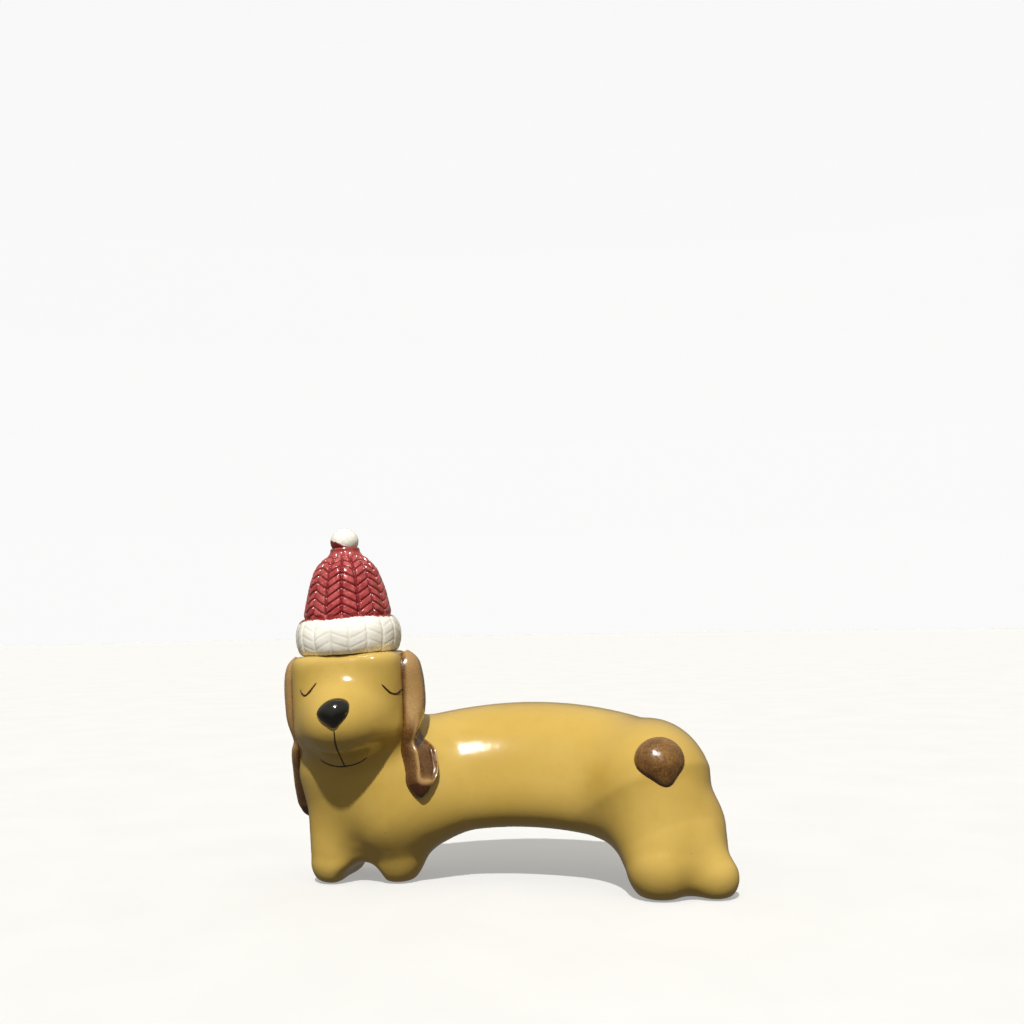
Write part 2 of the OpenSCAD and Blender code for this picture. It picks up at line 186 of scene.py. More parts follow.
def casting(p):
    """The glazed outside, with the space between the front legs and the vent under the belly."""
    d = dog(p)
    d = smax(d, -limb(p, [-66.2, -60, -1.0], [-66.2, 60, -1.0], 9.2, 9.2), 4)
    r = np.sqrt((p[..., 0] - 4) ** 2 + (p[..., 1] - 19) ** 2)
    d = smax(d, -smax(r - 3.5, p[..., 2] - 34, 1.0), 1.6)
    return smax(d, -p[..., 2], 2.2)


def gradient(f, p, e=0.25):
    g = np.stack([f(p + np.eye(3)[k] * e) - f(p - np.eye(3)[k] * e) for k in range(3)], -1) / (2 * e)
    return g


# ---------------------------------------------------------------- meshing
def surface_nets(f, lo, hi, h):
    n = np.ceil((np.array(hi) - np.array(lo)) / h).astype(int) + 1
    n = ((n + 3) // 4) * 4
    lo = np.array(lo, float)
    ax = [lo[k] + h * np.arange(n[k]) for k in range(3)]
    cx = [a.reshape(-1, 4).mean(1) for a in ax]
    C = np.stack(np.meshgrid(*cx, indexing="ij"), -1)
    near = np.abs(f(C.reshape(-1, 3)).reshape(C.shape[:3])) < 5.5 * h + 2
    sign = f(C.reshape(-1, 3)).reshape(C.shape[:3]) < 0
    up = lambda a: a.repeat(4, 0).repeat(4, 1).repeat(4, 2)
    near, F = up(near), np.where(up(sign), -9.0, 9.0)
    P = np.stack(np.meshgrid(*ax, indexing="ij"), -1)[near]
    out = np.empty(len(P))
    for i in range(0, len(P), 200000):
        out[i:i + 200000] = f(P[i:i + 200000])
    F[near] = out
    S = F < 0
    cnt = sum(S[i:S.shape[0] - 1 + i, j:S.shape[1] - 1 + j, k:S.shape[2] - 1 + k].astype(np.int8)
              for i in (0, 1) for j in (0, 1) for k in (0, 1))
    act = (cnt > 0) & (cnt < 8)
    ii = np.argwhere(act)
    idx = -np.ones(act.shape, int)
    idx[act] = np.arange(len(ii))
    off = np.array([(i, j, k) for i in (0, 1) for j in (0, 1) for k in (0, 1)])
    val = np.stack([F[ii[:, 0] + o[0], ii[:, 1] + o[1], ii[:, 2] + o[2]] for o in off], 1)
    acc, num = np.zeros((len(ii), 3)), np.zeros(len(ii))
    for a in range(8):
        for b in range(a + 1, 8):
            if np.abs(off[a] - off[b]).sum() != 1:
                continue
            m = (val[:, a] < 0) != (val[:, b] < 0)
            t = np.where(m, val[:, a] / np.where(m, val[:, a] - val[:, b], 1), 0)
            acc += m[:, None] * (off[a] + t[:, None] * (off[b] - off[a]))
            num += m
    V = lo + h * (ii + acc / num[:, None])
    quads = []
    for k in range(3):
        sl0 = [slice(1, -1)] * 3
        sl0[k] = slice(0, -1)
        sl1 = list(sl0)
        sl1[k] = slice(1, None)
        a, b = S[tuple(sl0)], S[tuple(sl1)]
        e = np.argwhere(a != b)
        inside = a[tuple(e.T)]
        e = e + np.array([0 if j == k else 1 for j in range(3)])
        u, v = [(1, 2), (2, 0), (0, 1)][k]
        du, dv = np.eye(3, dtype=int)[u], np.eye(3, dtype=int)[v]
        c = [e - du - dv, e - dv, e, e - du]
        q = np.stack([idx[tuple(x.T)] for x in c], 1)
        q[~inside] = q[~inside][:, ::-1]
        quads.append(q)
    return V, np.concatenate(quads)


def edges_of(Q):
    e = np.concatenate([Q[:, [i, (i + 1) % 4]] for i in range(4)])
    return np.unique(np.sort(e, 1), axis=0)


def averager(n, E):
    deg = np.bincount(E.ravel(), minlength=n).astype(float)

    def avg(X):
        return np.stack([(np.bincount(E[:, 0], X[E[:, 1], k], n) + np.bincount(E[:, 1], X[E[:, 0], k], n)) / deg
                         for k in range(X.shape[1])], 1)
    return avg


def skin_mesh(f, lo, hi, h):
    V, Q = surface_nets(f, lo, hi, h)
    avg = averager(len(V), edges_of(Q))
    for it in range(4):
        V = V + 0.6 * (avg(V) - V)
        for _ in range(2):
            g = gradient(f, V)
            V = V - (f(V) / np.maximum((g * g).sum(-1), 0.25))[:, None] * g * 0.95
    flat = V[:, 2] < 0.25
    W = V.copy()
    for it in range(14):
        W = W + 0.5 * (avg(W) - W)
        W = W - 0.53 * (avg(W) - W)
    W[flat, 2] = np.maximum(V[flat, 2], 0)
    W[:, 2] = np.maximum(W[:, 2], 0)
    V = W
    N = gradient(f, V)
    N /= np.linalg.norm(N, axis=1, keepdims=True) + 1e-9
    # how hollow the surface is over a few millimetres: glaze runs into hollows, and the hollows also get painted shade
    S = V.copy()
    for it in range(int(60 * (1.1 / h) ** 2)):
        S = S + 0.5 * (avg(S) - S)
    hollow = ((S - V) * N).sum(1)
    return V, Q, N, hollow


def cast(f, level, o, d, lo, hi, n=16):
    """Where the line from o along d first goes below that level of f."""
    lo, hi = np.full(len(o), float(lo)), np.full(len(o), float(hi))
    for _ in range(n):
        m = (lo + hi) / 2
        out = f(o + m[:, None] * d) > level
        lo, hi = np.where(out, m, lo), np.where(out, hi, m)
    return o + ((lo + hi) / 2)[:, None] * d


def make(name, V, F, mat, smooth=True, attrs=None):
    me = bpy.data.meshes.new(name)
    me.from_pydata([tuple(v) for v in metres(V)], [], [tuple(int(i) for i in f) for f in F])
    me.validate()
    me.update()
    if smooth:
        me.polygons.foreach_set("use_smooth", [True] * len(me.polygons))
    for k, a in (attrs or {}).items():
        at = me.attributes.new(k, "FLOAT", "POINT")
        at.data.foreach_set("value", np.asarray(a, np.float32))
    ob = bpy.data.objects.new(name, me)
    bpy.context.scene.collection.objects.link(ob)
    me.materials.append(mat)
    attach(ob, "root")
    return ob


def grid_faces(nr, nc, closed=True, flip=False, base=0):
    j, i = np.meshgrid(np.arange(nr - 1), np.arange(nc if closed else nc - 1), indexing="ij")
    a = base + j * nc + i
    b = base + j * nc + (i + 1) % nc
    q = np.stack([a, b, b + nc, a + nc], -1).reshape(-1, 4)
    return q[:, ::-1] if flip else q


def noise3(p, scale, seed=0):
    """Smooth value noise, about -1..1."""
    r = np.random.default_rng(seed)
    T = r.uniform(-1, 1, (32, 32, 32))
    q = np.asarray(p, float) * scale
    i = np.floor(q).astype(int)
    t = q - i
    t = t * t * (3 - 2 * t)
    out = 0
    for a in (0, 1):
        for b in (0, 1):
            for c in (0, 1):
                w = (t[..., 0] if a else 1 - t[..., 0]) * (t[..., 1] if b else 1 - t[..., 1]) * (t[..., 2] if c else 1 - t[..., 2])
                out = out + w * T[(i[..., 0] + a) % 32, (i[..., 1] + b) % 32, (i[..., 2] + c) % 32]
    return out


def curve_through(pts, n):
    """n points spread evenly along a smooth curve through pts."""
    P = np.asarray(pts, float)
    P = np.vstack([2 * P[0] - P[1], P, 2 * P[-1] - P[-2]])
    out = []
    for k in range(1, len(P) - 2):
        t = np.linspace(0, 1, 24, endpoint=False)[:, None]
        a, b, c, d = P[k - 1], P[k], P[k + 1], P[k + 2]
        out.append(0.5 * (2 * b + (c - a) * t + (2 * a - 5 * b + 4 * c - d) * t ** 2 + (3 * b - a - 3 * c + d) * t ** 3))
    out = np.vstack(out + [P[-2][None]])
    s = np.concatenate([[0], np.cumsum(np.linalg.norm(np.diff(out, axis=0), axis=1))])
    return np.stack([np.interp(np.linspace(0, s[-1], n), s, out[:, k]) for k in range(P.shape[1])], 1)


# ---------------------------------------------------------------- materials
def coat(r, g, b, k=0.7):
    """A coloured glaze, as strong as it shows under the full light."""
    c = srgb(r, g, b)
    return (c[0] * k, c[1] * k, c[2] * k, 1)


def srgb(r, g, b):
    f = lambda c: c / 12.92 if c <= 0.04045 else ((c + 0.055) / 1.055) ** 2.4
    return (f(r / 255), f(g / 255), f(b / 255), 1)


class Nodes:
    def __init__(self, name):
        self.mat = bpy.data.materials.new(name)
        self.mat.use_nodes = True
        self.t = self.mat.node_tree
        self.t.nodes.clear()
        self.out = self.t.nodes.new("ShaderNodeOutputMaterial")
        self.bsdf = self.t.nodes.new("ShaderNodeBsdfPrincipled")
        self.t.links.new(self.bsdf.outputs[0], self.out.inputs[0])
        self.co = self.t.nodes.new("ShaderNodeTexCoord").outputs["Object"]

    def link(self, a, b):
        self.t.links.new(a, b)

    def noise(self, size_mm, detail=2.0, rough=0.5, distort=0.0):
        n = self.t.nodes.new("ShaderNodeTexNoise")
        n.inputs["Scale"].default_value = 1000.0 / size_mm
        n.inputs["Detail"].default_value = detail
        n.inputs["Roughness"].default_value = rough
        n.inputs["Distortion"].default_value = distort
        self.link(self.co, n.inputs["Vector"])
        return n.outputs["Fac"]

    def ramp(self, fac, a, b, lo=0.0, hi=1.0):
        m = self.t.nodes.new("ShaderNodeMapRange")
        m.interpolation_type = "SMOOTHSTEP"
        m.inputs["From Min"].default_value = a
        m.inputs["From Max"].default_value = b
        m.inputs["To Min"].default_value = lo
        m.inputs["To Max"].default_value = hi
        self.link(fac, m.inputs["Value"])
        return m.outputs[0]

    def attr(self, name):
        n = self.t.nodes.new("ShaderNodeAttribute")
        n.attribute_name = name
        return n.outputs["Fac"]

    def math(self, op, a, b):
        n = self.t.nodes.new("ShaderNodeMath")
        n.operation = op
        for k, v in enumerate((a, b)):
            if isinstance(v, (int, float)):
                n.inputs[k].default_value = v
            else:
                self.link(v, n.inputs[k])
        return n.outputs[0]

    def mix(self, fac, a, b, blend="MIX"):
        n = self.t.nodes.new("ShaderNodeMix")
        n.data_type = "RGBA"
        n.blend_type = blend
        n.clamp_factor = True
        if isinstance(fac, (int, float)):
            n.inputs["Factor"].default_value = fac
        else:
            self.link(fac, n.inputs["Factor"])
        for v, s in ((a, n.inputs[6]), (b, n.inputs[7])):
            if isinstance(v, tuple):
                s.default_value = v
            else:
                self.link(v, s)
        return n.outputs[2]

    def axis(self, k):
        n = self.t.nodes.new("ShaderNodeSeparateXYZ")
        self.link(self.co, n.inputs[0])
        return n.outputs[k]

    def bump(self, height, dist_mm, strength=1.0, prev=None):
        n = self.t.nodes.new("ShaderNodeBump")
        n.inputs["Strength"].default_value = strength
        n.inputs["Distance"].default_value = dist_mm / 1000
        self.link(height, n.inputs["Height"])
        if prev is not None:
            self.link(prev, n.inputs["Normal"])
        return n.outputs[0]

    def set(self, **kw):
        for k, v in kw.items():
            s = self.bsdf.inputs[k.replace("_", " ")]
            if isinstance(v, bpy.types.NodeSocket):
                self.link(v, s)
            else:
                s.default_value = v


def ochre_glaze():
    m = Nodes("ochre_glaze")
    base = m.mix(m.ramp(m.noise(38, 2), 0.35, 0.65), coat(220, 183, 88), coat(226, 190, 97))
    base = m.mix(m.ramp(m.noise(7, 3), 0.42, 0.75, 0, 0.35), base, coat(214, 176, 80))
    # hollows are painted darker and greener, partly as pooled glaze and partly as painted shade; the glaze thins on
    # ridges
    pooled_glaze_and_shade = m.ramp(m.attr("hollow"), 0.05, 2.2, 0, 0.55)
    base = m.mix(pooled_glaze_and_shade, base, coat(176, 138, 48))
    thin = m.ramp(m.attr("hollow"), -0.3, -2.2, 0, 0.30)
    base = m.mix(thin, base, coat(234, 204, 124))
    # iron specks in the glaze
    speck = m.math("MULTIPLY", m.ramp(m.noise(0.9, 0), 0.80, 0.86), m.ramp(m.noise(22, 1), 0.42, 0.60))
    base = m.mix(m.math("MULTIPLY", speck, 0.3), base, coat(140, 96, 36))
    # bare clay on the soles
    edge = m.math("ADD", m.axis(2), m.ramp(m.noise(3.5, 2), 0.3, 0.7, -0.00035, 0.00035))
    clay = m.ramp(edge, 0.0007, 0.0003)
    clay_col = m.mix(m.ramp(m.noise(0.8, 3), 0.35, 0.65), coat(214, 204, 186), coat(190, 176, 154))
    m.set(Base_Color=m.mix(clay, base, clay_col))
    m.set(Roughness=m.ramp(clay, 0.0, 1.0, 0.17, 0.85))
    m.set(Normal=m.bump(m.math("ADD", m.noise(6.5, 1), m.math("MULTIPLY", m.noise(1.7, 2), 0.16)), 0.11))
    m.set(IOR=1.45, Coat_Weight=0.45, Coat_Roughness=0.03, Coat_IOR=1.5)
    return m.mat


def brown_glaze(name, seed_mm):
    m = Nodes(name)
    mottle = m.math("ADD", m.noise(0.75, 3, 0.7), m.math("MULTIPLY", m.noise(5.0, 2), 0.35))
    base = m.mix(m.ramp(mottle, 0.42, 0.88), coat(98, 60, 24), coat(160, 116, 58))
    base = m.mix(m.ramp(m.noise(seed_mm, 1), 0.45, 0.75, 0, 0.4), base, coat(84, 48, 18))
    # gold on the ears' raised front edge, and a painted highlight along the flap's rolled ridge
    base = m.mix(m.ramp(m.attr("rim"), 0.1, 1.0, 0, 0.8), base, coat(206, 164, 104))
    # darker at the edges of the ears and tail, and painted shade in the ear flap's pressed hollow
    base = m.mix(m.ramp(m.attr("dark"), 0.1, 1.0, 0, 0.92), base, coat(66, 28, 10))
    fleck = m.ramp(m.noise(0.55, 1), 0.60, 0.78, 0, 0.5)
    base = m.mix(fleck, base, coat(92, 54, 22))
    m.set(Base_Color=base, Roughness=m.ramp(m.noise(1.5, 2), 0.3, 0.7, 0.16, 0.30))
    m.set(Normal=m.bump(m.math("ADD", m.noise(3.2, 1), m.math("MULTIPLY", m.noise(0.6, 2), 0.12)), 0.07))
    m.set(IOR=1.5, Coat_Weight=0.6, Coat_Roughness=0.05, Coat_IOR=1.5)
    return m.mat


def black_glaze():
    m = Nodes("black_glaze")
    base = m.mix(m.ramp(m.noise(2.5, 3), 0.4, 0.7), srgb(4, 3, 3), srgb(9, 7, 6))
    m.set(Base_Color=base, Roughness=m.ramp(m.noise(2, 2), 0.3, 0.7, 0.08, 0.16))
    m.set(Normal=m.bump(m.noise(1.6, 2), 0.05))
    m.set(IOR=1.5, Coat_Weight=0.7, Coat_Roughness=0.03)
    return m.mat


def line_enamel(name, a, b):
    m = Nodes(name)
    base = m.mix(m.ramp(m.noise(1.0, 2), 0.35, 0.7), a, b)
    m.set(Base_Color=base, Roughness=m.ramp(m.noise(0.8, 2), 0.3, 0.7, 0.22, 0.4))
    m.set(Normal=m.bump(m.noise(0.5, 2), 0.02))
    m.set(IOR=1.5)
    return m.mat


def red_glaze():
    m = Nodes("red_glaze")
    face = m.mix(m.ramp(m.noise(4.5, 3, 0.6), 0.35, 0.70), srgb(158, 44, 50), srgb(188, 82, 84))
    face = m.mix(m.ramp(m.noise(1.0, 2), 0.52, 0.76, 0, 0.6), face, srgb(208, 122, 118))
    groove = m.math("MULTIPLY", m.attr("groove"), m.ramp(m.noise(2.0, 2), 0.2, 0.6, 0.75, 1.0))
    base = m.mix(groove, face, srgb(112, 10, 22))
    m.set(Base_Color=base, Roughness=m.ramp(m.noise(1.3, 2), 0.3, 0.7, 0.16, 0.30))
    m.set(Normal=m.bump(m.noise(1.1, 3), 0.06))
    m.set(IOR=1.5, Coat_Weight=0.6, Coat_Roughness=0.05, Coat_IOR=1.5)
    return m.mat


def white_glaze(name):
    m = Nodes(name)
    base = m.mix(m.ramp(m.noise(6, 3), 0.35, 0.7), srgb(252, 250, 242), srgb(246, 244, 235))
    # the white is greyed a little in the knit grooves: painted shade
    base = m.mix(m.math("MULTIPLY", m.attr("groove"), 0.25), base, srgb(212, 208, 196))
    # the red of the crown is brushed a little way over the white
    f = m.math("ADD", m.attr("red"), m.ramp(m.noise(1.6, 3), 0.25, 0.75, -0.42, 0.42))
    base = m.mix(m.ramp(f, 0.25, 0.65, 0, 0.75), base, srgb(206, 120, 112))
    base = m.mix(m.ramp(f, 0.55, 0.95), base, srgb(128, 24, 32))
    m.set(Base_Color=base, Roughness=m.ramp(m.noise(1.5, 2), 0.3, 0.7, 0.18, 0.32))
    m.set(Normal=m.bump(m.math("ADD", m.noise(2.6, 2), m.math("MULTIPLY", m.noise(0.7, 2), 0.15)), 0.08))
    m.set(IOR=1.5, Coat_Weight=0.5, Coat_Roughness=0.05, Coat_IOR=1.5)
    return m.mat


OCHRE, BLACK = ochre_glaze(), black_glaze()
EAR_BROWN, TAIL_BROWN = brown_glaze("brown_glaze_ears", 9), brown_glaze("brown_glaze_tail", 7)
EYE_LINE = line_enamel("eye_enamel", srgb(40, 18, 12), srgb(70, 36, 22))
MOUTH_LINE = line_enamel("mouth_enamel", srgb(52, 36, 12), srgb(80, 56, 20))
RED, WHITE, POM_WHITE = red_glaze(), white_glaze("white_glaze_cuff"), white_glaze("white_glaze_pompom")

# ---------------------------------------------------------------- castings under one glaze
H = 1.1
V, Q, N, hollow = skin_mesh(casting, [-101, -57, -3], [102, 51, 104], H)
skin = make("glazed_casting", V, Q, OCHRE, attrs={"hollow": hollow})
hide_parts("body_shell", "head_shell")


# ---------------------------------------------------------------- ears
EAR_TOP = [
    [21, 0, 99, 1, 0, 0.5, 3, 3.5, 3],
    [23, 0, 96.5, 1, 0, 0.3, 6, 6.5, 5.5],
    [24, 0, 92.5, 1, 0, 0.1, 7.8, 8.5, 7],
    [24, 0, 87, 1, 0, 0, 8.3, 9, 7.8]]
EAR_LEFT = EAR_TOP + [
    [24, -0.5, 80, 1, -0.08, 0, 8.5, 9, 8.3],
    [24.5, -2, 74, 0.97, -0.22, 0.05, 8, 9, 8],
    [26.5, -4.5, 68, 0.88, -0.44, 0.15, 7, 9.2, 7.4],
    [29, -8, 62, 0.76, -0.6, 0.26, 6.4, 9.3, 6.8],
    [31.2, -11, 56, 0.68, -0.66, 0.32, 5.8, 9.3, 6.4],
    [32.6, -12.8, 50, 0.64, -0.7, 0.33, 6, 8.3, 6],
    [32.4, -14.4, 45, 0.63, -0.72, 0.3, 5.6, 6.6, 5.4],
    [32.4, -15.5, 41.6, 0.63, -0.74, 0.25, 4.2, 4.7, 4.8],
    [32.3, -16.1, 39.4, 0.63, -0.74, 0.25, 2.6, 2.8, 4],
    [32.3, -16.4, 38.2, 0.63, -0.74, 0.25, 1.2, 1.2, 3]]
EAR_RIGHT = [
    [21, 0, 99, 1, 0, 0.5, 3, 3.5, 2.6],
    [23, 0, 96.5, 1, 0, 0.3, 6, 6.5, 4.4],
    [24, 0, 92.5, 1, 0, 0.1, 7.8, 8.5, 5.4],
    [24, 0, 87, 1, 0, 0, 8.3, 9, 5.8],
    [24, 0, 80, 1, -0.02, 0, 8.6, 9.3, 5.6],
    [24, 0.5, 74, 1, -0.03, 0, 9, 8.8, 5.2],
    [24.5, 2, 68, 1, -0.04, 0, 9.5, 10, 3.8],
    [25.5, 4, 62, 1, -0.05, 0, 10, 10.5, 3],
    [27, 6, 56, 1, -0.06, 0, 10, 11, 2.5],
    [27.5, 7.5, 50, 1, -0.08, 0, 9.5, 10.5, 2.5],
    [27, 8.5, 44, 1, -0.1, 0, 8.5, 9, 3],
    [26, 9, 38.5, 1, -0.12, 0, 7, 7, 3.6],
    [25, 9, 34, 1, -0.12, 0, 5, 5, 4],
    [24, 9, 30.5, 1, -0.12, 0, 3, 3, 3.4],
    [23, 9, 28.5, 1, -0.12, 0, 0.8, 0.8, 1.6]]


def ear(name, side, stations, cup_from, cup, rim_in):
    """A hanging ear: a rolled rim runs round the flap, and its middle is pressed hollow."""
    ns, nu = ((110, 46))
    E = curve_through(stations, ns)
    at = from_head(np.stack([-70 + side * E[:, 0], -14 + E[:, 1], E[:, 2]], 1))
    T = -np.gradient(at, axis=0)
    N0 = dir_from_head(np.stack([side * E[:, 3], E[:, 4], E[:, 5]], 1))
    N0 /= np.linalg.norm(N0, axis=1, keepdims=True)
    W = np.cross(T, N0) * side
    W /= np.linalg.norm(W, axis=1, keepdims=True)
    # spread the points so that the rounded edges get most of them
    u = np.sin(np.linspace(-np.pi / 2, np.pi / 2, nu))
    half = np.where(u[None] < 0, E[:, 6:7], E[:, 7:8])
    O = at[:, None] + (u[None] * half)[..., None] * W[:, None] + 30 * N0[:, None]
    D = np.broadcast_to(-N0[:, None], O.shape)
    # distance in from the ear's outline, for the rim and the hollow
    length = np.concatenate([[0], np.cumsum(np.linalg.norm(np.diff(at, axis=0), axis=1))])
    wf, wr = E[:, 6:7], E[:, 7:8]
    d_front = np.where(u[None] < 0, (1 + u[None]) * wf, wf + u[None] * wr)
    d_rear = np.where(u[None] > 0, (1 - u[None]) * wr, wr - u[None] * wf)
    d_end = (length[-1] - length)[:, None] + 0 * d_front
    d_top = length[:, None] + 0 * d_front
    # 1 on the rolled rim, which lies further in at the front and at the tip
    dn = smin(smin(smin(d_front / rim_in[0], d_rear / rim_in[1], 0.6), d_end / rim_in[2], 0.6), d_top / 4, 0.5)
    flap = np.clip((cup_from - E[:, 2]) / 14, 0, 1)[:, None]
    flap = flap * flap * (3 - 2 * flap)
    th = E[:, 8:9]
    edge = np.clip(1 - np.abs(u)[None] ** 2.6, 0, 1) ** 0.5
    lev = (th + 0.8) * edge - 0.8
    well = 1 / (1 + np.exp(-(dn - 1.45) / 0.10))
    lev = lev - flap * cup * well * np.clip(half / 9, 0, 1)
    ridge = np.exp(-((dn - 1.05) / 0.26) ** 2)
    lev = lev + flap * 0.45 * ridge
    d_out = np.minimum(np.minimum(d_front, d_rear), d_end)
    lev = lev + 0.12 * noise3(O, 1 / 6.0, 3)
    front = np.empty(O.shape)
    for j in range(ns):
        # each row is found along its own direction, at the level wanted at each point
        o, d = O[j], D[j]
        lo, hi = np.zeros(nu), np.full(nu, 60.0)
        for _ in range(16):
            m = (lo + hi) / 2
            x = o + m[:, None] * d
            outside = (ear_bed(x) > lev[j]) & (dog(x) > np.minimum(lev[j], 1.3 * edge[0] - 0.8))
            lo, hi = np.where(outside, m, lo), np.where(outside, hi, m)
        front[j] = o + ((lo + hi) / 2)[:, None] * d
    back = cast(ear_bed, -0.8, O.reshape(-1, 3), D.reshape(-1, 3), 0, 60).reshape(O.shape)
    # the two edge points of each row are shared by front and back
    nb = nu - 2
    Vv = np.concatenate([front, back[:, 1:-1][:, ::-1]], 1)
    n = Vv.shape[1]
    P = Vv.reshape(-1, 3)
    F = grid_faces(ns, n, True, flip=side < 0)
    caps = [list(range(n)), list(range((ns - 1) * n, ns * n))]
    if side < 0:
        caps[1].reverse()
    else:
        caps[0].reverse()
    # a dark line where the front edge meets the head, gold on the edge itself
    high = (th + 0.8) * edge
    dark = np.where(u[None] < 0, np.clip(1.35 - high / 1.5, 0, 1) * 0.95, 0.85 * np.clip(1 - d_out / 1.4, 0, 1))
    dark = np.maximum(dark, flap * np.clip(1 - (d_end - 5.0) / 2.0, 0, 1) * (1 - ridge))
    dark = np.maximum(dark, flap * 0.55 * np.clip((1.0 - dn) / 0.5, 0, 1))
    # the pressed hollow of the flap is darkened with painted shade
    dark = np.maximum(dark, flap * well * 0.55)
    gold = np.clip((high - 1.4) / 1.6, 0, 1) * np.clip((9.5 - d_front) / 5, 0, 1)
    # along the flap's rolled ridge the gold is a painted highlight
    rim = (1 - flap) * gold * 0.9 + flap * ridge
    pad = np.full((ns, nb), 1.0)
    A = {"dark": np.concatenate([dark, pad], 1).ravel(), "rim": np.concatenate([rim, 0 * pad], 1).ravel()}
    ob = make(name, P, [tuple(f) for f in F] + [tuple(c) for c in caps], EAR_BROWN, attrs=A)
    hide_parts(name)
    return ob


ear("ear_left", 1, EAR_LEFT, 74, 2.8, (3.0, 1.5, 5.6)).name = "left_ear"
ear("ear_right", -1, EAR_RIGHT, 66, 0.9, (3.4, 3.0, 5.5)).name = "right_ear"


# ---------------------------------------------------------------- domed pads: nose and tail
def pad(name, node, field, c, e1, e2, e3, shape, thick, mat, slot, lobes=None, sink=0.8, dark_edge=1.2):
    nr, na = ((34, 120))
    a = np.linspace(0, 2 * np.pi, na, endpoint=False)
    r = shape(a)
    s = np.sin(np.linspace(0, np.pi / 2, nr))[1:]
    X = s[:, None] * (r * np.cos(a))[None]
    Y = s[:, None] * (r * np.sin(a))[None]
    prof = np.sqrt(np.clip(1 - s ** 2.7, 0, 1))[:, None] + 0 * X
    lev = (thick + sink) * prof - sink
    if lobes is not None:
        lev = lev + lobes(X, Y, s[:, None])
    O = c + X[..., None] * e1 + Y[..., None] * e2 + 30 * e3
    D = np.broadcast_to(-e3, O.shape)
    lo, hi = np.zeros(X.shape), np.full(X.shape, 60.0)
    for _ in range(16):
        m = (lo + hi) / 2
        outside = field(O + m[..., None] * D) > lev
        lo, hi = np.where(outside, m, lo), np.where(outside, hi, m)
    front = O + ((lo + hi) / 2)[..., None] * D
    top = cast(field, thick + (lobes(0, 0, 0) if lobes else 0), (c + 30 * e3)[None], -e3[None], 0, 60)
    back = cast(field, -sink - 0.4, (c + 30 * e3)[None], -e3[None], 0, 60)
    P = np.vstack([top, front.reshape(-1, 3), back])
    m = len(s)
    F = [tuple(1 + i for i in (k, (k + 1) % na)) for k in range(na)]
    F = [(0, f[0], f[1]) for f in F]
    F += [tuple(q) for q in grid_faces(m, na, True, flip=True, base=1)]
    last = 1 + (m - 1) * na
    F += [(len(P) - 1, last + (k + 1) % na, last + k) for k in range(na)]
    din = (1 - s)[:, None] * r[None]
    dark = np.concatenate([[0], (np.clip(1 - din / dark_edge, 0, 1)).ravel(), [1]])
    ob = make(name, P, F, mat, attrs={"dark": dark, "rim": np.zeros(len(P))})
    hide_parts(node)
    return ob


NOSE_R = [(0, 7.2), (20, 7.6), (36, 8.6), (56, 7.8), (75, 7), (100, 6.4), (125, 6.2), (150, 6.6), (175, 7.6),
          (198, 6.5), (222, 5.7), (248, 5.6), (266, 6.3), (281, 7), (296, 6.3), (318, 5.9), (340, 6.5), (360, 7.2)]


def nose_outline(a):
    """A rounded triangle, wide above and coming to a soft point below, a little askew."""
    d = np.arange(0, 360, 2.0)
    r = np.interp(d, *zip(*NOSE_R))
    for _ in range(2):
        r = (np.roll(r, 5) + np.roll(r, 3) + r * 2 + np.roll(r, -3) + np.roll(r, -5)) / 6
    return np.interp(np.degrees(a) % 360, np.append(d, 360), np.append(r, r[0]))


n_lo, n_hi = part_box("nose")
n_mid = np.array((n_lo + n_hi) / 2) * 1000 - OFF
e3 = dir_from_head([0, -math.cos(math.radians(20)), math.sin(math.radians(20))])
e1 = dir_from_head([1, 0, 0])
e2 = np.cross(e3, e1)
nose = pad("nose_pad", "nose", dog, n_mid + 1.2 * e1 - 0.2 * e2, e1, e2, e3, nose_outline, 3.6, BLACK, "black_glaze")

t_lo, t_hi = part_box("tail")
t_mid = np.array((t_lo + t_hi) / 2) * 1000 - OFF
e3 = np.array([0.12, -math.cos(math.radians(48)), math.sin(math.radians(48))])
e3 /= np.linalg.norm(e3)
e1 = np.array([math.cos(math.radians(6)), 0.12, 0])
e1 /= np.linalg.norm(e1)
e1 -= (e1 @ e3) * e3
e1 /= np.linalg.norm(e1)
e2 = np.cross(e3, e1)


def tail_outline(a):
    return 10.2 + 2.6 * np.maximum(0, np.cos(a + math.radians(75))) ** 10 + 0.8 * np.cos(2 * (a - math.radians(20)))


pad("tail_leaf", "tail", body, t_mid, e1, e2, e3, tail_outline, 5.2, TAIL_BROWN, "brown_glaze", dark_edge=1.0)


# ---------------------------------------------------------------- brush lines on the face
PAINTER = np.array([112.0, -506.0, 118.0])


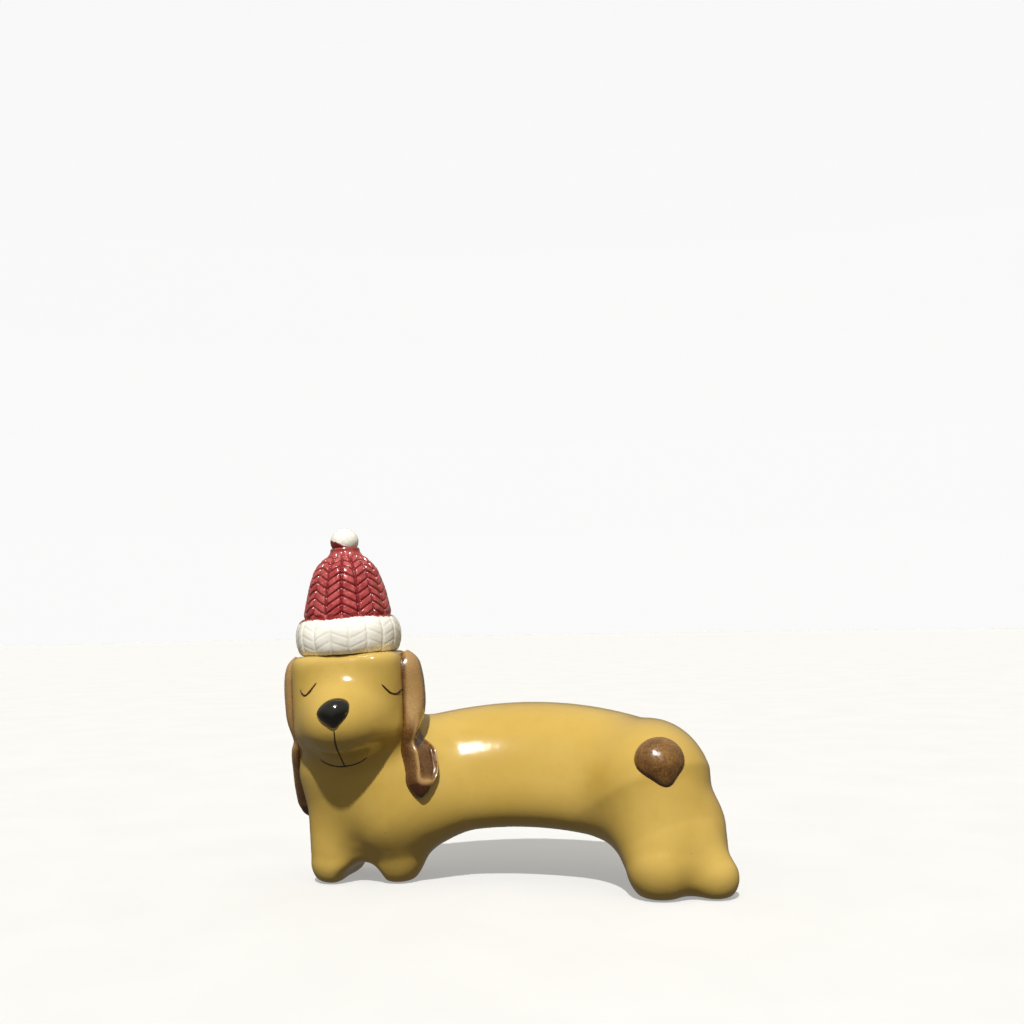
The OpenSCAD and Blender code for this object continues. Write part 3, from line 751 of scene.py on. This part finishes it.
def stroke(name, node, runs, width, mat):
    P, F = [], []
    for pts in runs:
        n = 64
        C = from_head(curve_through(pts, n))
        # brushed on from where the painter looks
        D = C - PAINTER
        D /= np.linalg.norm(D, axis=1, keepdims=True)
        C = cast(dog, 0, C - 30 * D, D, 0, 60, 20)
        Nn = gradient(dog, C)
        Nn /= np.linalg.norm(Nn, axis=1, keepdims=True)
        T = np.gradient(C, axis=0)
        T /= np.linalg.norm(T, axis=1, keepdims=True)
        W = np.cross(Nn, T)
        t = np.linspace(0, 1, n)
        taper = np.clip(np.minimum(t, 1 - t) * n / 5.0, 0, 1) ** 0.5 * (0.86 + 0.22 * noise3(C, 1 / 2.4, 11)) * (1.12 - 0.28 * np.abs(2 * t - 1))
        w = np.maximum(width / 2 * taper, 0.02)
        across = np.linspace(-1, 1, 7)
        base = len(P) and sum(len(p) for p in P)
        rows = []
        for k in range(n):
            up = 0.22 * np.sqrt(np.clip(1 - across ** 2, 0, 1)) * min(1, w[k] / (width / 2)) + 0.03
            row = C[k] + across[:, None] * w[k] * W[k] + up[:, None] * Nn[k]
            under = C[k] + across[::-1, None] * w[k] * W[k] - 0.25 * Nn[k]
            rows.append(np.vstack([row, under]))
        R = np.array(rows)
        m = R.shape[1]
        F += [tuple(q) for q in grid_faces(n, m, True, flip=False, base=base)]
        F += [tuple(base + i for i in range(m))[::-1], tuple(base + (n - 1) * m + i for i in range(m))]
        P.append(R.reshape(-1, 3))
    ob = make(name, np.vstack(P), F, mat)
    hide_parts(node)
    return ob


stroke("right_eyelid", "eyelid_right", [[(-88.9, -33, 87.6), (-88.3, -33.6, 85.9), (-86.6, -35.1, 84.7),
                                         (-84.5, -36.3, 85.9), (-82.3, -36.8, 88.2), (-80.6, -36.9, 90.1)]], 1.15, EYE_LINE)
stroke("left_eyelid", "eyelid_left", [[(-52.6, -34.2, 87.8), (-51, -33, 85.6), (-49.5, -31.4, 83.8), (-48.1, -29.4, 83),
                                       (-46.7, -26.5, 83.1), (-46, -19.8, 84.5), (-45.9, -13.8, 83.7)]], 1.15, EYE_LINE)
stroke("mouth", "mouth_line", [
    [(-70.2, -52, 70.6), (-70, -51.6, 65.1), (-69.2, -49.7, 60.7), (-68.2, -43.9, 54.5)],
    [(-78.5, -45.1, 58.3), (-77.4, -44.7, 57.1), (-74.4, -44.2, 55.4), (-70.9, -43.9, 54.5),
     (-67.7, -43.7, 54.5), (-64.5, -43.3, 54.9), (-61.4, -42.7, 55.9), (-58.7, -42.3, 57.6)]], 0.85, MOUTH_LINE)


# ---------------------------------------------------------------- hat
def groove(x, w):
    return np.exp(-(x / w) ** 2)


def knit(phi, s, cols, phi0, radius, pitch, slope, seed):
    """Relief and paint of knitted columns: u runs across a column, s up it."""
    pc = 2 * np.pi / cols
    c = (phi - phi0) / pc
    k = np.floor(c)
    u = c - k - 0.5
    half = radius * pc / 2
    leg = np.where(k.astype(int) % 2 == 0, 1.0, -1.0)
    r = np.random.default_rng(seed)
    jig = r.uniform(-0.12, 0.12, cols + 1)[(k.astype(int)) % cols]
    w = s / pitch + leg * u * (2 * half) * slope / pitch + jig
    row = w - np.floor(w) - 0.5
    near_col = (0.5 - np.abs(u)) * 2 * half
    near_row = (0.5 - np.abs(row)) * pitch
    return near_col, near_row, u, row


def hat_crown():
    na, ns = ((16 * 30, 200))
    phi = np.linspace(0, 2 * np.pi, na, endpoint=False)
    # profile: from inside the cuff, up the dome to the collar round the pompom
    z = np.array([-5, -2.5, 0, 3, 6.5, 10, 14, 17.5, 21, 24, 26.5, 28.2, 29.4, 30.6, 31.2, 31.4])
    r = np.array([19.2, 19.2, 19.2, 18.9, 18.2, 17.4, 16.4, 15.2, 13.7, 11.3, 8.8, 7.4, 6.8, 6.6, 6.0, 4.8])
    prof = curve_through(np.stack([r, z], 1), ns)
    R0, Z0 = prof[:, 0], prof[:, 1]
    s = np.concatenate([[0], np.cumsum(np.hypot(np.diff(R0), np.diff(Z0)))])
    s = s - np.interp(0, Z0, s)
    tr, tz = np.gradient(R0), np.gradient(Z0)
    l = np.hypot(tr, tz)
    nr_, nz_ = tz / l, -tr / l
    PH, S = np.meshgrid(phi, s)
    RR = R0[:, None] + 0 * PH
    dist_col, dist_row, u, row = knit(PH, S + 0.35 * np.sin(3 * PH + 0.6), 16, -math.pi / 2 + math.radians(12.6), RR, 3.75, 0.60, 5)
    fade = np.clip((RR - 6.6) / 3.0, 0, 1) * np.clip((S + 0.5) / 1.5, 0.0, 1)
    gc, gr = groove(dist_col, 0.66), groove(dist_row, 0.40) * np.clip(dist_col / 0.7, 0.2, 1)
    puff = 0.42 * np.sqrt(np.clip(1 - (2 * np.abs(u)) ** 3, 0, 1)) + 0.26 * np.sqrt(np.clip(1 - (2 * np.abs(row)) ** 3, 0, 1))
    rel = fade * (puff - 1.0 * gc - 0.55 * gr)
    pos0 = np.stack([RR * np.cos(PH), RR * np.sin(PH), Z0[:, None] + 0 * PH], -1)
    rel = rel + 0.22 * noise3(pos0, 1 / 5.0, 21)
    X = (RR + nr_[:, None] * rel) * np.cos(PH)
    Y = (RR + nr_[:, None] * rel) * np.sin(PH)
    Z = Z0[:, None] + nz_[:, None] * rel
    P = hat_point(np.stack([X, Y, Z + CUFF_H], -1).reshape(-1, 3))
    F = [tuple(q) for q in grid_faces(ns, na, True)]
    n = ns * na
    c0 = hat_point(np.array([[0, 0, Z0[0] + CUFF_H], [0, 0, Z0[-1] + CUFF_H]]))
    P = np.vstack([P, c0])
    F += [(n, (k + 1) % na, k) for k in range(na)]
    F += [(n + 1, (ns - 1) * na + k, (ns - 1) * na + (k + 1) % na) for k in range(na)]
    g = np.clip(np.maximum(gc * 0.95, gr), 0, 1) * np.clip(fade + 0.0, 0, 1)
    g = np.maximum(g, np.clip((7.6 - RR) / 1.6, 0, 1) * 0.75)
    ob = make("knitted_crown", P, F, RED, attrs={"groove": np.concatenate([g.ravel(), [1, 1]])})
    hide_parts("hat_crown")


def hat_cuff():
    na, nt = ((18 * 26, 110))
    phi = np.linspace(0, 2 * np.pi, na, endpoint=False)
    # closed section: the roll outside, a plain wall inside
    a = np.radians(np.linspace(-90, 90, nt))
    R0 = 19.4 + 4.2 * np.clip(np.cos(a), 0, 1) ** np.where(a < 0, 0.7, 1.1)
    Z0 = 8.3 + 8.3 * np.sin(a)
    s = np.concatenate([[0], np.cumsum(np.hypot(np.diff(R0), np.diff(Z0)))])
    s = s - s[nt // 2]
    tr, tz = np.gradient(R0), np.gradient(Z0)
    l = np.hypot(tr, tz)
    nr_, nz_ = tz / l, -tr / l
    PH, S = np.meshgrid(phi, s)
    RR = R0[:, None] + 0 * PH
    dist_col, dist_row, u, row = knit(PH, S + 0.4 * np.sin(2 * PH), 18, -math.pi / 2 + math.radians(20.3), RR, 4.2, -0.42, 9)
    w = np.clip((RR - 20.0) / 1.8, 0, 1)
    gc = groove(dist_col, 0.55)
    gr = groove(dist_row, 0.6) * np.clip(dist_col / 1.0, 0.2, 1)
    rel = w * (0.40 * np.sqrt(np.clip(1 - (2 * np.abs(u)) ** 2.4, 0, 1)) - 0.20 * gc - 0.10 * gr - 0.2)
    pos0 = np.stack([RR * np.cos(PH), RR * np.sin(PH), Z0[:, None] + 0 * PH], -1)
    rel = rel + 0.25 * noise3(pos0, 1 / 6.0, 31)
    X = (RR + nr_[:, None] * rel) * np.cos(PH)
    Y = (RR + nr_[:, None] * rel) * np.sin(PH)
    Z = np.maximum(Z0[:, None] + nz_[:, None] * rel, 0.02)
    ring_in = np.stack([np.stack([16.5 * np.cos(phi), 16.5 * np.sin(phi), 0 * phi + zz], -1) for zz in (16.0, 0.02)])
    P = np.concatenate([np.stack([X, Y, Z], -1), ring_in])
    nr = P.shape[0]
    F = [tuple(q) for q in grid_faces(nr, na, True)]
    F += [((nr - 1) * na + k, (nr - 1) * na + (k + 1) % na, (k + 1) % na, k) for k in range(na)]
    # red brushed over the top edge, higher on one side
    red = np.clip((Z - (15.2 + 0.7 * np.sin(PH + 2.4) + 0.35 * np.sin(5 * PH))) / 0.9 + 0.5, -0.3, 1.4)
    red = np.concatenate([red, 0 * ring_in[..., 0] + np.array([[1.4], [0.0]])])
    # groove: where the white is greyed with painted shade in the knit
    g = np.concatenate([w * np.maximum(0.8 * gc, 0.5 * gr), 0 * ring_in[..., 0]])
    ob = make("rolled_cuff", hat_point(P.reshape(-1, 3)), F, WHITE,
              attrs={"groove": g.ravel(), "red": red.ravel()})
    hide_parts("hat_cuff")


def pompom():
    p_lo, p_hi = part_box("hat_pompom")
    c = np.array([(p_lo.x + p_hi.x) / 2, (p_lo.y + p_hi.y) / 2, p_hi.z - (p_hi.x - p_lo.x) / 2]) * 1000 - OFF
    n, m = ((96, 60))
    th = np.linspace(0, np.pi, m + 2)[1:-1]
    ph = np.linspace(0, 2 * np.pi, n, endpoint=False)
    T, PH = np.meshgrid(th, ph, indexing="ij")
    D = np.stack([np.sin(T) * np.cos(PH), np.sin(T) * np.sin(PH), -np.cos(T)], -1)
    D = np.concatenate([D.reshape(-1, 3), [[0, 0, -1], [0, 0, 1]]])
    r = 6.3 * (1 + 0.030 * noise3(D * 10 + 40, 1 / 6.5, 41) + 0.012 * noise3(D * 10 + 70, 1 / 2.2, 42))
    P = c + D * r[:, None] * np.array([1.02, 1.02, 0.97])
    F = [tuple(q) for q in grid_faces(m, n, True)]
    k0 = m * n
    F += [(k0, (k + 1) % n, k) for k in range(n)]
    F += [(k0 + 1, (m - 1) * n + k, (m - 1) * n + (k + 1) % n) for k in range(n)]
    q = P - c
    line = -1.9 - 0.42 * q[:, 0] - 0.12 * q[:, 1]
    red = np.clip((line - q[:, 2]) / 0.8 + 0.5, -0.3, 1.5)
    ob = make("pompom", P, F, POM_WHITE, attrs={"red": red, "groove": np.zeros(len(P))})
    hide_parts("hat_pompom")


hat_crown()
hat_cuff()
pompom()

# ---------------------------------------------------------------- stage, light, camera
me = bpy.data.meshes.new("floor")
k = 64
ring = lambda r, z: [(r * math.cos(2 * math.pi * i / k), r * math.sin(2 * math.pi * i / k), z) for i in range(k)]
me.from_pydata([(0, 0, 0)] + ring(6.0, 0), [], [(0, 1 + i, 1 + (i + 1) % k) for i in range(k)])
floor = bpy.data.objects.new("floor", me)
bpy.context.scene.collection.objects.link(floor)
fm = Nodes("floor_paper")
fm.set(Base_Color=fm.mix(fm.ramp(fm.noise(60, 3), 0.3, 0.7), coat(206, 206, 206), coat(210, 210, 210)), Roughness=0.9)
fm.set(IOR=1.2, Emission_Color=(1, 1, 1, 1), Emission_Strength=0.33)
me.materials.append(fm.mat)
# a white surround behind the set; neither it nor the floor throws light back on the glaze
dome_me = bpy.data.meshes.new("surround")
rows = [ring(7.9 * math.cos(math.radians(e)), 7.9 * math.sin(math.radians(e))) for e in range(-20, 90, 5)]
dome_me.from_pydata([p for r in rows for p in r] + [(0, 0, 7.9)], [],
                    [(j * k + (i + 1) % k, j * k + i, (j + 1) * k + i, (j + 1) * k + (i + 1) % k)
                     for j in range(len(rows) - 1) for i in range(k)]
                    + [((len(rows) - 1) * k + i, len(rows) * k, (len(rows) - 1) * k + (i + 1) % k) for i in range(k)])
dome = bpy.data.objects.new("surround", dome_me)
bpy.context.scene.collection.objects.link(dome)
dm = Nodes("surround_paper")
dm.set(Base_Color=dm.mix(dm.ramp(dm.noise(900, 1), 0.3, 0.7), srgb(8, 8, 8), srgb(10, 10, 10)), Roughness=0.9,
       Emission_Color=(1, 1, 1, 1), Emission_Strength=0.94)
dome_me.materials.append(dm.mat)
for o in (floor, dome):
    o.visible_diffuse = False
    o.visible_glossy = False
dome.visible_shadow = False

world = bpy.data.worlds.new("studio")
bpy.context.scene.world = world
world.use_nodes = True
nt = world.node_tree
nt.nodes.clear()
wo = nt.nodes.new("ShaderNodeOutputWorld")
bg = nt.nodes.new("ShaderNodeBackground")
tc = nt.nodes.new("ShaderNodeTexCoord")
sx = nt.nodes.new("ShaderNodeSeparateXYZ")
mr = nt.nodes.new("ShaderNodeMapRange")
mr.interpolation_type = "SMOOTHSTEP"
mr.inputs["From Min"].default_value = -0.25
mr.inputs["From Max"].default_value = 0.85
mr.inputs["To Min"].default_value = 0.14
mr.inputs["To Max"].default_value = 0.48
nt.links.new(tc.outputs["Generated"], sx.inputs[0])
nt.links.new(sx.outputs[2], mr.inputs["Value"])
nt.links.new(mr.outputs[0], bg.inputs["Strength"])
bg.inputs["Color"].default_value = (1.0, 0.93, 0.76, 1)
nt.links.new(bg.outputs[0], wo.inputs[0])


def toward(az, el):
    """az is measured from -Y towards +X, el above the floor."""
    a, e = math.radians(az), math.radians(el)
    return Vector((math.sin(a) * math.cos(e), -math.cos(a) * math.cos(e), math.sin(e)))


def lamp(name, kind, az, el, power, size, dist=1.2, colour=(1, 1, 1)):
    d = toward(az, el)
    L = bpy.data.lights.new(name, kind)
    if kind == "SUN":
        L.angle = math.radians(size)
    else:
        L.shape = "DISK"
        L.size = size
    L.energy = power
    L.color = colour
    ob = bpy.data.objects.new(name, L)
    ob.location = (CAD_LO + CAD_HI) / 2 + d * dist
    ob.rotation_euler = d.to_track_quat("Z", "Y").to_euler()
    bpy.context.scene.collection.objects.link(ob)
    return ob


lamp("key", "SUN", 5, 56, 4.05, 1.8, colour=(1, 0.985, 0.95))

C = Vector((0.114126, -0.501769, 0.118))
right, up = Vector((0.97638, 0.21536, -0.01738)), Vector((0.036315, -0.084274, 0.995781))
fwd = Vector((-0.212986, 0.972892, 0.090104))
cam = bpy.data.cameras.new("camera")
cam.lens = 39.727
cam.sensor_width = 36
cam.clip_start = 0.01
co = bpy.data.objects.new("camera", cam)
M = Matrix((right, up, -fwd)).transposed().to_4x4()
M.translation = C
co.matrix_world = M
bpy.context.scene.collection.objects.link(co)
bpy.context.scene.camera = co
bpy.context.scene.view_settings.view_transform = "Standard"
bpy.context.scene.view_settings.look = "None"
